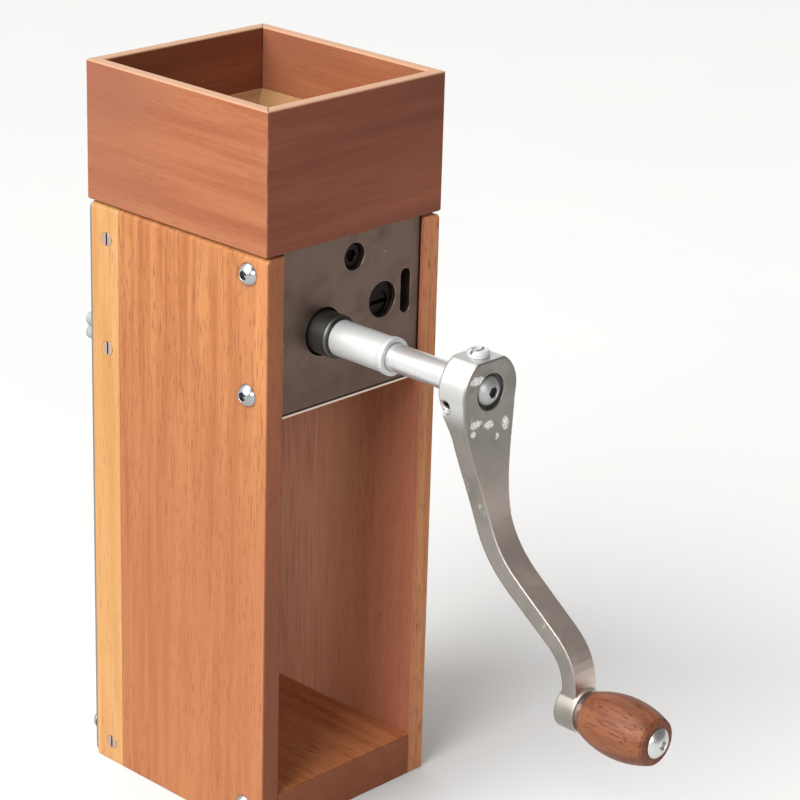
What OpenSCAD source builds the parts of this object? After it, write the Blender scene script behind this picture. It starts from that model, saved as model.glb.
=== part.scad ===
// Hand-cranked two-roller malt mill: a wooden body, a hopper, a steel mill block and a crank.
// Millimetres. +Z is up, the crank points to -Y, the origin is the centre of the underside.

/* [Body] */
// Width across the two side boards
body_w = 102; // [96:1:130]
// Depth from the boards' front edges to the outside of the back cover
body_d = 114; // [110:1:150]
// Height of the side boards
body_h = 270; // [220:1:360]
// Thickness of the side boards
board_t = 9.5; // [8:0.5:12]
// Width of the pale stave glued along each board's rear edge
stave_w = 18; // [14:0.5:19]
// Radius of the boards' outer top edges
board_edge_r = 2.5; // [0.5:0.5:5]
// Thickness of the base board
base_t = 20; // [18:1:40]
// Thickness of the sheet-metal back cover
cover_t = 1.5; // [1:0.1:3]
// Distance of the cover's edges inside the body's outline
cover_inset = 0.5; // [0.2:0.1:1.5]
// Corner radius of the back cover
cover_corner_r = 3; // [1:0.5:6]

/* [Hopper] */
// Outer width of the hopper
hopper_w = 103.5; // [98:0.5:130]
// Outer depth of the hopper
hopper_d = 113.5; // [110:0.5:150]
// Height of the hopper walls
hopper_h = 62; // [45:1:120]
// Thickness of the hopper walls
hopper_t = 5.5; // [4:0.5:9]
// Shadow gap between the side boards and the hopper
shadow_gap = 1; // [0.5:0.1:3]
// Thickness of the hopper's floor
floor_t = 6; // [4:0.5:12]
// Width of the throat in the hopper's floor
throat_w = 32; // [24:1:40]
// Depth of the throat, along the rollers
throat_d = 60; // [40:1:66]
// Height of the funnel wedges at the hopper walls
wedge_h = 28; // [15:1:40]
// Height of the funnel wedges' edge round the throat
wedge_lip = 1.5; // [0.5:0.5:4]

/* [Mill block] */
// Thickness of the two end plates
plate_t = 20; // [18:0.5:23]
// Height of the end plates
plate_h = 74; // [66:1:90]
// Distance of the front plate behind the boards' front edges
plate_recess = 2; // [0.5:0.5:4]
// Depth of the drive axis below the plates' top
drive_drop = 40; // [36:0.5:42]
// Offset of the drive axis from the middle, along X
drive_x = -16.5; // [-20:0.5:-15]
// Distance of the gap axis beside the drive axis
axis_dx = 35; // [33:0.5:38]
// Height of the gap axis above the drive axis
axis_dz = 6.5; // [2:0.5:7]
// Diameter of the tie rod between the plates
tie_d = 10; // [8:0.5:12]
// Depth of the tie rod below the plates' top
tie_drop = 10.5; // [8:0.5:12]
// Distance of the grain guides above the rollers
guide_clear = 1.4; // [0.8:0.1:3]
// Reach of the grain guides over the rollers' axes
guide_reach = 6; // [2:0.5:9]

/* [Rollers] */
// Gap between the rollers at the middle setting
roll_gap = 1.2; // [1:0.1:1.6]
// Offset of the idler's axle from the axis it is set round
eccentricity = 1.8; // [1:0.1:2]
// Diameter of the drive journals and of the crank's rod
journal_d = 12; // [10:0.5:13]
// Diameter of the idler's axle
axle_d = 10; // [8:0.5:10]
// Diameter of the eccentric discs in the end plates
eccentric_d = 16; // [15:0.5:18]
// Outer diameter of the drive bushes
drive_bush_d = 18; // [16:0.5:19]
// Outer diameter of the bushes in the idler roller
idler_bush_d = 16; // [13:0.5:18]
// Length of the bushes in the idler roller
idler_bush_l = 15; // [8:1:24]
// Flutes round each roller
flute_n = 30; // [12:1:48]
// Width of a flute
flute_w = 1.8; // [0.8:0.1:2.4]
// Axial room in front of the rollers for the setting arm
arm_room = 4.2; // [3.5:0.1:6]

/* [Gap setting] */
// Thickness of the setting arm
set_arm_t = 3.4; // [2:0.1:3.4]
// Distance of the slot beside the gap axis
slot_dx = 14.1; // [13:0.1:16]
// Height of the slot's middle above the gap axis
slot_dz = 1; // [0:0.1:1.2]
// Width of the slot in the front plate
slot_w = 5.8; // [5.6:0.1:7]
// Length of the slot in the front plate
slot_l = 20; // [17:0.5:24]
// Diameter of the pin that shows in the slot
pin_d = 3; // [2:0.1:3]

/* [Drive line] */
// Diameter of the drive hole in the front plate
drive_hole_d = 21; // [20:0.5:24]
// Diameter of the dark collar
collar_d = 19; // [17:0.5:19.2]
// Length of the collar in front of the plate
collar_out = 10.5; // [4:0.5:14]
// Length of the collar inside the plate's hole
collar_in = 7; // [4:0.5:10]
// Outer diameter of the coupling sleeve
sleeve_d = 15.6; // [14.5:0.1:18]
// Length of the coupling sleeve
sleeve_l = 31.5; // [26:0.5:50]
// Length of bare rod between the sleeve and the crank
rod_show = 38.5; // [25:0.5:70]

/* [Crank] */
// Diameter of the crank's head
head_d = 31; // [27:0.5:36]
// Length of the crank's head along the rod
head_l = 15.5; // [13:0.5:20]
// Depth of the flat on top of the crank's head
flat_cut = 2.2; // [1:0.1:4]
// Thickness of the arm at its head
arm_t0 = 10; // [7:0.5:12]
// Thickness of the arm at its end
arm_t1 = 7; // [5:0.5:9]
// Width of the arm at its head
arm_w0 = 30.6; // [20:0.2:36]
// Width of the arm below its taper
arm_w1 = 13; // [10:0.5:18]
// Height over which the arm tapers
arm_taper = 57; // [45:1:80]
// Length of the arm along its curve
arm_l = 143; // [138:1:170]
// Steepest lean of the arm, in degrees
arm_lean = 54; // [30:1:60]
// Length along the arm where it starts to bend outwards
bend_start = 44; // [30:1:60]
// Length along the arm where its lean is steepest
bend_end = 89; // [70:1:100]
// Length along the arm where it starts to bend back
return_start = 108; // [102:1:118]
// Length along the arm where it points straight down again
return_end = 138; // [124:1:138]
// Diameter of the eye at the arm's end
eye_d = 19; // [17:0.5:24]
// Length of the eye along the spindle
eye_l = 10; // [8:0.5:14]
// Largest diameter of the turned knob
knob_d = 26; // [20:0.5:32]
// Length of the turned knob
knob_l = 34; // [26:1:60]
// Diameter of the knob's spindle
spindle_d = 8; // [6:0.5:9]

/* [Fixings] */
// Thread diameter of the side bolts and the tie screws
bolt_d = 6; // [5:0.5:6]
// Length of the side bolts under the head
bolt_l = 24; // [18:1:26]
// Head diameter of the side bolts
bolt_head_d = 10.5; // [9:0.5:13]
// Height of the base bolts above the underside
base_bolt_z = 13; // [10:0.5:14]
// Shank diameter of the small screws in the staves
small_screw_d = 3.5; // [3:0.1:4]
// Length of the small screws in the staves
small_screw_l = 21; // [16:1:24]
// Head diameter of the small screws in the staves
small_head_d = 6.6; // [6:0.1:8]
// Diameter of the cover's studs and screws
cover_screw_d = 5; // [4:0.5:5]
// Diameter over the lobes of the cover's knobs
star_d = 19; // [16:0.5:24]
// Thickness of the cover's knobs
star_t = 11; // [8:0.5:15]

/* [Hidden] */
$fn = 64;

// Radial room of a fixed fit, and of a running fit
fit = 0.05;
run = 0.05;
// Room between flat faces that turn past each other
face_gap = 0.3;
// Overshoot of a cut past the face that it opens
over = 1;

// Body: outer and inner faces of the boards, their front and rear edges
outer_x = body_w / 2;
inner_x = outer_x - board_t;
front_y = -body_d / 2;
rear_y = body_d / 2 - cover_t;
stave_y = rear_y - stave_w;

// End plates: their faces, top and lower edge
plate_top = body_h + shadow_gap;
plate_low = plate_top - plate_h;
plate_front = front_y + plate_recess;
front_in = plate_front + plate_t;
rear_in = rear_y - plate_t;

// Axes of the drive roller, of the gap setting and of the idler at the middle setting
drive_z = plate_top - drive_drop;
gap_x = drive_x + axis_dx;
gap_z = drive_z + axis_dz;
idler_z = gap_z - eccentricity;
roller_r = (norm([axis_dx, idler_z - drive_z]) - roll_gap) / 2;
roller_y0 = front_in + arm_room;
roller_y1 = rear_in - face_gap;
tie_x = drive_x + axis_dx / 2;
tie_z = plate_top - tie_drop;
slot_x = gap_x + slot_dx;
slot_z = gap_z + slot_dz;

// Depths of the round seats in the plates
seat_wall = 4;
seat_depth = plate_t - seat_wall;
collar_room = 1;
collar_seat = collar_in + collar_room;
tie_head_d = 10;
tie_head_h = 6;
tie_seat_d = 12;
tie_sink = 2;
tie_seat = tie_head_h + tie_sink;
tie_thread = 14;
eccentric_recess = 2;
axle_sink = 1;
axle_recess = eccentric_recess + axle_sink;
axle_end_room = 1;
axle_slot_w = 1.6;
axle_slot_depth = 2;
idler_bore_room = 1;
spacer_wall = 5;
arm_eye_wall = 3.5;
pin_eye_wall = 2.6;

// Hopper: inner faces, underside and top of its floor
hopper_x = hopper_w / 2;
hopper_y = hopper_d / 2;
in_x = hopper_x - hopper_t;
in_y = hopper_y - hopper_t;
floor_top = plate_top + floor_t;
floor_screw_x = 20;
floor_screw_d = 5;
floor_screw_head = 9;
floor_screw_grip = 10;
floor_screw_l = floor_t + floor_screw_grip;
// Rows of the floor's screws: the middle of where the floor lies on each end plate
floor_front_row = (max(plate_front, -in_y) + front_in) / 2;
floor_rear_row = (rear_in + min(rear_y, in_y)) / 2;

// Rows of the side fixings: [y, z] of the bolts in front and of the small screws behind
front_row = plate_front + plate_t / 2;
rear_row = rear_in + plate_t / 2;
bolt_top_inset = 9.5;
bolt_low_inset = 11;
small_top_inset = 16.5;
small_low_inset = 7.2;
small_base_z = 9.5;
bolt_places = [
    [front_row, plate_top - bolt_top_inset],
    [front_row, plate_low + bolt_low_inset],
    [front_row, base_bolt_z]];
small_places = [
    [rear_row, plate_top - small_top_inset],
    [rear_row, plate_low + small_low_inset],
    [rear_row, small_base_z]];
bolt_head_h = 3.6;
small_head_h = 2.2;

// Cover: places of its knobs, in the rear plate, and of its screws, in the staves
star_inset = 5.5;
star_rise = 10.5;
star_x = inner_x - star_inset;
star_z = plate_low + star_rise;
stud_depth = 7;
cover_screw_inset = 4.5;
cover_screw_x = outer_x - cover_screw_inset;
cover_screw_z = 15.5;
cover_screw_l = 15;
cover_head_d = 9;
cover_head_h = 4.2;
star_foot = 2;
stud_share = 0.7;

// Drive line, from the plate towards the crank
collar_front = plate_front - collar_out;
sleeve_front = collar_front - sleeve_l;
stub_end = collar_front - sleeve_l / 2;
head_back = sleeve_front - rod_show;
head_front = head_back - head_l;
head_seat = 2.6;
head_chamfer = 1.2;
head_flat = head_d / 2 - flat_cut;
rod_end = head_front + head_seat;
washer_t = 1;
washer_d = 14;
washer_room = 0.7;
end_screw_d = 7;
end_screw_head = 12.8;
end_screw_h = 3.4;
end_screw_l = 12;
clamp_d = 6;
clamp_head_d = 9.4;
clamp_head_h = 2.8;
clamp_rim = 1.2;
clamp_dish = 0.6;
clamp_bevel = 0.8;
clamp_bevel_h = 0.8;
clamp_slot_w = 1.4;
clamp_slot_depth = 1.4;
grub_angle = 203;
grub_back = 4;
grub_d = 4;
grub_l = 8.2;
grub_socket = 2.5;
spot_d = 6.4;
spot_depth = 0.6;

// Crank arm: its middle line starts in the head and turns by a law of lean against length
arm_front_inset = 0.4;
arm_y = head_front + arm_front_inset + arm_t0 / 2;
arm_steps = 44;
arm_step = arm_l / arm_steps;
lean_start = 1;
lean_mid = 15;
root_start = 5;
root_end = 20;
root_depth = head_l - arm_front_inset - head_chamfer - arm_t0;
taper_steps = 14;
arm_end = arm_point(arm_steps);
eye_y = arm_end[0];
eye_z = arm_end[1];
spindle_flange_t = 2;
spindle_flange_d = 13;
spindle_head_h = 3;
spindle_socket = 4;
knob_y1 = eye_y - eye_l / 2 - spindle_flange_t - face_gap;
knob_y0 = knob_y1 - knob_l;

// Smooth step from 0 to 1
function smooth(t) = let (u = max(0, min(1, t))) u * u * (3 - 2 * u);

// Lean of the arm from straight down, at a length along its middle line
function lean(s) = lean_start + (lean_mid - lean_start) * min(s / bend_start, 1)
    + (arm_lean - lean_mid) * smooth((s - bend_start) / (bend_end - bend_start))
    - arm_lean * smooth((s - return_start) / (return_end - return_start));

// Point [y, z] of the arm's middle line after a number of steps
function arm_point(i) = i == 0 ? [arm_y, drive_z]
    : let (a = lean((i - 0.5) * arm_step)) arm_point(i - 1) - arm_step * [sin(a), cos(a)];

// How much deeper the arm is at the back of its root, at a length along its middle line
function arm_root(s) = root_depth * (1 - smooth((s - root_start) / (root_end - root_start)));

// Point [y, z] of the arm's front (side -1) or back (side 1) face
function arm_face(i, side) = let (a = lean(i * arm_step),
    t = arm_t0 + (arm_t1 - arm_t0) * i / arm_steps,
    root = side > 0 ? arm_root(i * arm_step) : 0)
    arm_point(i) + (side * t / 2 + root) * [cos(a), -sin(a)];

// Half width of the arm at a depth below the drive axis
function arm_half(depth) = (arm_w0 - (arm_w0 - arm_w1) * smooth(depth / arm_taper)) / 2;

// Round bar along X, along Y or along Z
module bar_x(x0, x1, y, z, d) {
    translate([x0, y, z]) rotate([0, 90, 0]) cylinder(d = d, h = x1 - x0);
}
module bar_y(x, y0, y1, z, d) {
    translate([x, y0, z]) rotate([-90, 0, 0]) cylinder(d = d, h = y1 - y0);
}
module bar_z(x, y, z0, z1, d) {
    translate([x, y, z0]) cylinder(d = d, h = z1 - z0);
}

// Outline in X and Z drawn out along Y, and outline in Y and Z drawn out along X
module along_y(y0, y1) {
    translate([0, y1, 0]) rotate([90, 0, 0]) linear_extrude(y1 - y0) children();
}
module along_x(x0, x1) {
    translate([x0, 0, 0]) rotate([90, 0, 90]) linear_extrude(x1 - x0) children();
}

// Block between two corners
module block(low, high) {
    translate(low) cube(high - low);
}

// Domed head on the XY plane, with a hexagon socket
module dome_head(d, h, socket) {
    r = d / 2;
    ball = (r * r + h * h) / (2 * h);
    difference() {
        rotate_extrude() intersection() {
            translate([0, h - ball]) circle(ball, $fn = 128);
            square([r, h]);
        }
        translate([0, 0, h * 0.2]) cylinder(d = socket, h = h, $fn = 6);
    }
}

// Domed bolt whose head sits on the XY plane and whose shank points down
module dome_bolt(d, l, head_d, head_h) {
    dome_head(head_d, head_h, d * 0.72);
    translate([0, 0, -l]) cylinder(d = d, h = l);
}

// Countersunk screw, flush with the XY plane, its shank pointing down
module flush_screw(d, l, head_d, head_h) {
    difference() {
        union() {
            translate([0, 0, -head_h]) cylinder(d1 = d, d2 = head_d, h = head_h);
            translate([0, 0, -l]) cylinder(d = d, h = l - head_h);
        }
        translate([-head_d, -head_d * 0.07, -head_h * 0.4])
            cube([2 * head_d, head_d * 0.14, head_h]);
    }
}

// Socket head screw whose head's underside is the XY plane
module socket_screw(d, l, head_d, head_h) {
    difference() {
        cylinder(d = head_d, h = head_h);
        translate([0, 0, head_h / 2]) cylinder(d = head_d * 0.55, h = head_h, $fn = 6);
    }
    translate([0, 0, -l]) cylinder(d = d, h = l);
}

// Puts a child that points up at each of the places of one side board, pointing outwards
module on_side(places, side) {
    for (p = places)
        translate([side * outer_x, p[0], p[1]]) rotate([0, side * 90, 0]) children();
}

// Outline of the left side board in X and Z, rounded at its outer top edge
module board_outline() {
    translate([-outer_x, 0]) square([board_t, body_h - board_edge_r]);
    translate([-outer_x + board_edge_r, body_h - board_edge_r])
        square([board_t - board_edge_r, board_edge_r]);
    translate([-outer_x + board_edge_r, body_h - board_edge_r]) circle(board_edge_r);
}

// Left side board with its three bolt holes
module side_board() {
    difference() {
        along_y(front_y, stave_y) board_outline();
        for (p = bolt_places)
            bar_x(-outer_x - over, -inner_x + over, p[0], p[1], bolt_d + 2 * fit);
    }
}

// Left rear stave with countersunk screw holes and the cover screw's hole
module rear_stave() {
    difference() {
        along_y(stave_y, rear_y) board_outline();
        for (p = small_places) {
            bar_x(-outer_x - over, -inner_x + over, p[0], p[1], small_screw_d + 2 * fit);
            translate([-outer_x, p[0], p[1]]) rotate([0, 90, 0])
                cylinder(d1 = small_head_d + 2 * fit, d2 = small_screw_d + 2 * fit, h = small_head_h);
        }
        bar_y(-cover_screw_x, rear_y - cover_screw_l - fit, rear_y + over, cover_screw_z,
            cover_screw_d + 2 * fit);
    }
}

module left_side_board() {
    color("#d08a52") side_board();
}

module right_side_board() {
    color("#a8653f") mirror([1, 0, 0]) side_board();
}

module left_rear_stave() {
    color("#ecb67a") rear_stave();
}

module right_rear_stave() {
    color("#ecb67a") mirror([1, 0, 0]) rear_stave();
}

// Holes that the side fixings need in what lies between the boards
module side_holes(places, d, reach) {
    for (p = places, side = [-1, 1])
        translate([side * outer_x, p[0], p[1]]) rotate([0, -side * 90, 0])
            cylinder(d = d + 2 * fit, h = reach + fit);
}

module base_board() {
    color("#99603c") difference() {
        block([-inner_x, front_y, 0], [inner_x, rear_y, base_t]);
        side_holes([bolt_places[2]], bolt_d, bolt_l);
        side_holes([small_places[2]], small_screw_d, small_screw_l);
    }
}

module side_bolts() {
    color("#d4d6d6") for (side = [-1, 1])
        on_side(bolt_places, side) dome_bolt(bolt_d, bolt_l, bolt_head_d, bolt_head_h);
}

module rear_side_screws() {
    color("#c8c4bc") for (side = [-1, 1])
        on_side(small_places, side)
            flush_screw(small_screw_d, small_screw_l, small_head_d, small_head_h);
}

// Tapped holes for the hopper's screws in the top of an end plate
module floor_screw_holes(y) {
    for (side = [-1, 1])
        bar_z(side * floor_screw_x, y, floor_top - floor_screw_l - fit, plate_top + over,
            floor_screw_d + 2 * fit);
}

// Slot with round ends, in X and Z
module slot_outline(w, l) {
    translate([-w / 2, -(l - w) / 2]) square([w, l - w]);
    for (end = [-1, 1])
        translate([0, end * (l - w) / 2]) circle(d = w);
}

module front_end_plate() {
    color("#5a4e46") difference() {
        block([-inner_x, plate_front, plate_low], [inner_x, front_in, plate_top]);
        bar_y(drive_x, plate_front - over, front_in + over, drive_z, drive_bush_d + 2 * fit);
        bar_y(drive_x, plate_front - over, plate_front + collar_seat, drive_z, drive_hole_d);
        bar_y(gap_x, plate_front - over, front_in + over, gap_z, eccentric_d + 2 * run);
        bar_y(tie_x, plate_front - over, front_in + over, tie_z, bolt_d + 2 * fit);
        bar_y(tie_x, plate_front - over, plate_front + tie_seat, tie_z, tie_seat_d);
        along_y(plate_front - over, front_in + over)
            translate([slot_x, slot_z]) slot_outline(slot_w, slot_l);
        side_holes([bolt_places[0], bolt_places[1]], bolt_d, bolt_l);
        floor_screw_holes(floor_front_row);
    }
}

module rear_end_plate() {
    color("#5a4e46") difference() {
        block([-inner_x, rear_in, plate_low], [inner_x, rear_y, plate_top]);
        bar_y(drive_x, rear_in - over, rear_in + seat_depth, drive_z, drive_bush_d + 2 * fit);
        bar_y(gap_x, rear_in - over, rear_in + seat_depth, gap_z, eccentric_d + 2 * run);
        bar_y(tie_x, rear_in - over, rear_y + over, tie_z, bolt_d + 2 * fit);
        bar_y(tie_x, rear_y - tie_seat, rear_y + over, tie_z, tie_seat_d);
        for (side = [-1, 1])
            bar_y(side * star_x, rear_y - stud_depth - face_gap, rear_y + over, star_z,
                cover_screw_d + 2 * run);
        side_holes([small_places[0], small_places[1]], small_screw_d, small_screw_l);
        floor_screw_holes(floor_rear_row);
    }
}

module tie_rod() {
    color("#b4b6b6") difference() {
        bar_y(tie_x, front_in, rear_in, tie_z, tie_d);
        bar_y(tie_x, front_in - over, front_in + tie_thread + fit, tie_z, bolt_d + 2 * fit);
        bar_y(tie_x, rear_in - tie_thread - fit, rear_in + over, tie_z, bolt_d + 2 * fit);
    }
}

module tie_screws() {
    tie_l = plate_t - tie_seat + tie_thread;
    color("#8f9294") {
        translate([tie_x, plate_front + tie_seat, tie_z]) rotate([90, 0, 0])
            socket_screw(bolt_d, tie_l, tie_head_d, tie_head_h);
        translate([tie_x, rear_y - tie_seat, tie_z]) rotate([-90, 0, 0])
            socket_screw(bolt_d, tie_l, tie_head_d, tie_head_h);
    }
}

// Plain bush of the drive roller between two places along Y
module drive_bush(y0, y1) {
    color("#b58a4a") difference() {
        bar_y(drive_x, y0, y1, drive_z, drive_bush_d);
        bar_y(drive_x, y0 - over, y1 + over, drive_z, journal_d + 2 * run);
    }
}

module drive_bush_front() {
    drive_bush(plate_front + collar_seat, front_in);
}

module drive_bush_rear() {
    drive_bush(rear_in, rear_in + seat_depth);
}

// Grain guide of one side: from the hopper's floor down to just above its roller
module grain_guide(side, axis_x, roller_top) {
    low = roller_top + guide_clear;
    color("#a9abaa") along_y(front_in, rear_in) polygon([
        [side * inner_x, plate_top],
        [side * throat_w / 2, plate_top],
        [axis_x - side * guide_reach, low],
        [side * inner_x, low]]);
}

module left_grain_guide() {
    grain_guide(-1, drive_x, drive_z + roller_r);
}

module right_grain_guide() {
    grain_guide(1, gap_x, idler_z + roller_r);
}

// Mitred hopper wall of a given outer length, standing on the front edge of the hopper
module hopper_wall(length, depth) {
    translate([0, 0, plate_top]) linear_extrude(hopper_h) polygon([
        [-length / 2, -depth / 2],
        [length / 2, -depth / 2],
        [length / 2 - hopper_t, -depth / 2 + hopper_t],
        [-length / 2 + hopper_t, -depth / 2 + hopper_t]]);
}

module hopper_front_wall() {
    color("#7c4a34") hopper_wall(hopper_w, hopper_d);
}

module hopper_back_wall() {
    color("#7c4a34") rotate([0, 0, 180]) hopper_wall(hopper_w, hopper_d);
}

module hopper_left_wall() {
    color("#a0624a") rotate([0, 0, -90]) hopper_wall(hopper_d, hopper_w);
}

module hopper_right_wall() {
    color("#a0624a") rotate([0, 0, 90]) hopper_wall(hopper_d, hopper_w);
}

// Places of the screws that hold the hopper's floor on the end plates
floor_screw_places = [
    for (y = [floor_front_row, floor_rear_row], side = [-1, 1]) [side * floor_screw_x, y]];
floor_head_h = 2.8;

module hopper_floor() {
    color("#b98a5e") difference() {
        block([-in_x, -in_y, plate_top], [in_x, in_y, floor_top]);
        block([-throat_w / 2, -throat_d / 2, plate_top - over],
            [throat_w / 2, throat_d / 2, floor_top + over]);
        for (p = floor_screw_places) {
            bar_z(p[0], p[1], plate_top - over, floor_top + over, floor_screw_d + 2 * fit);
            translate([p[0], p[1], floor_top - floor_head_h])
                cylinder(d1 = floor_screw_d + 2 * fit, d2 = floor_screw_head + 2 * fit, h = floor_head_h);
        }
    }
}

module hopper_screws() {
    color("#c8c4bc") for (p = floor_screw_places)
        translate([p[0], p[1], floor_top])
            flush_screw(floor_screw_d, floor_screw_l, floor_screw_head, floor_head_h);
}

// Wedge outline from a hopper wall to the throat, on the negative side
module wedge_outline(wall, throat) {
    polygon([
        [-wall, floor_top],
        [-wall, floor_top + wedge_h],
        [-throat / 2, floor_top + wedge_lip],
        [-throat / 2, floor_top]]);
}

// Outline in X and Z of the room between the two side wedges
module wedge_room() {
    polygon([
        [-throat_w / 2, floor_top],
        [-throat_w / 2, floor_top + wedge_lip],
        [-in_x, floor_top + wedge_h],
        [in_x, floor_top + wedge_h],
        [throat_w / 2, floor_top + wedge_lip],
        [throat_w / 2, floor_top]]);
}

module funnel_left() {
    color("#b98a5e") along_y(-in_y, in_y) wedge_outline(in_x, throat_w);
}

module funnel_right() {
    color("#b98a5e") mirror([1, 0, 0]) along_y(-in_y, in_y) wedge_outline(in_x, throat_w);
}

module funnel_front() {
    color("#b98a5e") intersection() {
        along_x(-in_x, in_x) wedge_outline(in_y, throat_d);
        along_y(-in_y, in_y) wedge_room();
    }
}

module funnel_back() {
    mirror([0, 1, 0]) funnel_front();
}

// Rectangle with round corners, from its lower left corner
module round_rect(w, h, r) {
    translate([r, 0]) square([w - 2 * r, h]);
    translate([0, r]) square([w, h - 2 * r]);
    for (x = [r, w - r], y = [r, h - r])
        translate([x, y]) circle(r);
}

module back_cover() {
    cover_w = body_w - 2 * cover_inset;
    color("#c9cac6") difference() {
        along_y(rear_y, rear_y + cover_t)
            translate([-cover_w / 2, cover_inset])
                round_rect(cover_w, body_h - 2 * cover_inset, cover_corner_r);
        for (side = [-1, 1]) {
            bar_y(side * star_x, rear_y - over, rear_y + cover_t + over, star_z,
                cover_screw_d + 2 * face_gap);
            bar_y(side * cover_screw_x, rear_y - over, rear_y + cover_t + over, cover_screw_z,
                cover_screw_d + 2 * fit);
        }
    }
}

module cover_screws() {
    color("#d4d6d6") for (side = [-1, 1])
        translate([side * cover_screw_x, rear_y + cover_t, cover_screw_z]) rotate([-90, 0, 0])
            dome_bolt(cover_screw_d, cover_screw_l + cover_t, cover_head_d, cover_head_h);
}

// Six-lobed knob of the back cover, bored for its stud
module star_knob(side) {
    y0 = rear_y + cover_t + face_gap;
    lobe_d = star_d * 0.34;
    color("#c3c5c4") difference() {
        translate([side * star_x, y0, star_z]) rotate([-90, 0, 0]) {
            cylinder(d = star_d * 0.6, h = star_foot);
            translate([0, 0, star_foot]) cylinder(d = star_d - lobe_d, h = star_t - star_foot);
            for (a = [0:60:300])
                rotate([0, 0, a + 30]) translate([(star_d - lobe_d) / 2, 0, star_foot])
                    cylinder(d = lobe_d, h = star_t - star_foot);
        }
        bar_y(side * star_x, y0 - over, y0 + star_t * stud_share, star_z, cover_screw_d + 2 * fit);
    }
}

// Threaded stud moulded into a star knob
module star_stud(side) {
    y0 = rear_y + cover_t + face_gap;
    color("#b4b6b6")
        bar_y(side * star_x, rear_y - stud_depth, y0 + star_t * stud_share - fit, star_z, cover_screw_d);
}

module cover_knob_left() {
    star_knob(-1);
}

module cover_knob_right() {
    star_knob(1);
}

module cover_stud_left() {
    star_stud(-1);
}

module cover_stud_right() {
    star_stud(1);
}

// Cuts the flutes of a roller that lies along Y
module flutes(x, z) {
    for (i = [0 : flute_n - 1])
        bar_y(x + roller_r * cos(360 * i / flute_n), roller_y0 - over, roller_y1 + over,
            z + roller_r * sin(360 * i / flute_n), flute_w);
}

module gap_axle() {
    axle_front = plate_front + axle_recess;
    color("#777a7c") difference() {
        bar_y(gap_x, axle_front, rear_in + seat_depth - axle_end_room, idler_z, axle_d);
        block([gap_x - axle_d, axle_front - over, idler_z - axle_slot_w / 2],
            [gap_x + axle_d, axle_front + axle_slot_depth, idler_z + axle_slot_w / 2]);
    }
}

// Disc that turns in an end plate and carries the axle off its middle
module eccentric(y0, y1) {
    color("#46423f") difference() {
        bar_y(gap_x, y0, y1, gap_z, eccentric_d);
        bar_y(gap_x, y0 - over, y1 + over, idler_z, axle_d + 2 * fit);
    }
}

module eccentric_front() {
    eccentric(plate_front + eccentric_recess, front_in + face_gap);
}

module eccentric_rear() {
    eccentric(rear_in, rear_in + seat_depth - face_gap);
}

// Setting arm: an eye on the axle, a smaller eye for the pin and the web between them
module gap_arm() {
    y0 = front_in + face_gap;
    eye_r = axle_d / 2 + arm_eye_wall;
    pin_r = pin_d / 2 + pin_eye_wall;
    reach = [slot_dx, slot_z - idler_z];
    color("#8f9294") difference() {
        along_y(y0, y0 + set_arm_t) {
            translate([gap_x, idler_z]) circle(eye_r);
            translate([slot_x, slot_z]) circle(pin_r);
            translate([gap_x, idler_z]) rotate(atan2(reach[1], reach[0]))
                polygon([[0, -eye_r * 0.8], [norm(reach), -pin_r * 0.8],
                    [norm(reach), pin_r * 0.8], [0, eye_r * 0.8]]);
        }
        bar_y(gap_x, y0 - over, y0 + set_arm_t + over, idler_z, axle_d + 2 * fit);
        bar_y(slot_x, y0 - over, y0 + set_arm_t + over, slot_z, pin_d + 2 * fit);
    }
}

module gap_pin() {
    color("#d4d6d6")
        bar_y(slot_x, plate_front + axle_recess, front_in + face_gap + set_arm_t, slot_z, pin_d);
}

module idler_roller() {
    color("#a4a6a6") difference() {
        bar_y(gap_x, roller_y0, roller_y1, idler_z, 2 * roller_r);
        bar_y(gap_x, roller_y0 - over, roller_y1 + over, idler_z, axle_d + 2 * idler_bore_room);
        bar_y(gap_x, roller_y0 - over, roller_y0 + idler_bush_l, idler_z, idler_bush_d + 2 * fit);
        bar_y(gap_x, roller_y1 - idler_bush_l, roller_y1 + over, idler_z, idler_bush_d + 2 * fit);
        flutes(gap_x, idler_z);
    }
}

module idler_bushes() {
    color("#b58a4a") for (y = [roller_y0, roller_y1 - idler_bush_l])
        difference() {
            bar_y(gap_x, y, y + idler_bush_l, idler_z, idler_bush_d);
            bar_y(gap_x, y - over, y + idler_bush_l + over, idler_z, axle_d + 2 * run);
        }
}

module drive_roller() {
    color("#a4a6a6") difference() {
        union() {
            bar_y(drive_x, roller_y0, roller_y1, drive_z, 2 * roller_r);
            bar_y(drive_x, stub_end, rear_in + seat_depth - axle_end_room, drive_z, journal_d);
        }
        flutes(drive_x, drive_z);
    }
}

module drive_spacer() {
    color("#b58a4a") difference() {
        bar_y(drive_x, front_in + face_gap, roller_y0, drive_z, journal_d + 2 * spacer_wall);
        bar_y(drive_x, front_in - over, roller_y0 + over, drive_z, journal_d + 2 * fit);
    }
}

// Turned collar with a chamfered front edge
module drive_collar() {
    chamfer = 1;
    color("#565856") difference() {
        union() {
            bar_y(drive_x, collar_front + chamfer, plate_front + collar_in, drive_z, collar_d);
            translate([drive_x, collar_front, drive_z]) rotate([-90, 0, 0])
                cylinder(d1 = collar_d - 2 * chamfer, d2 = collar_d, h = chamfer);
        }
        bar_y(drive_x, collar_front - over, front_in, drive_z, journal_d + 2 * fit);
    }
}

// Sleeve that joins the drive roller's stub to the rod, with a low rim at its front end
rim_w = 3;
rim_h = 0.5;
sleeve_grub_d = 4;
sleeve_grub_sink = 0.2;
sleeve_socket = 1;
sleeve_grub_places = [sleeve_front + sleeve_l * 0.25, sleeve_front + sleeve_l * 0.75];

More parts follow.
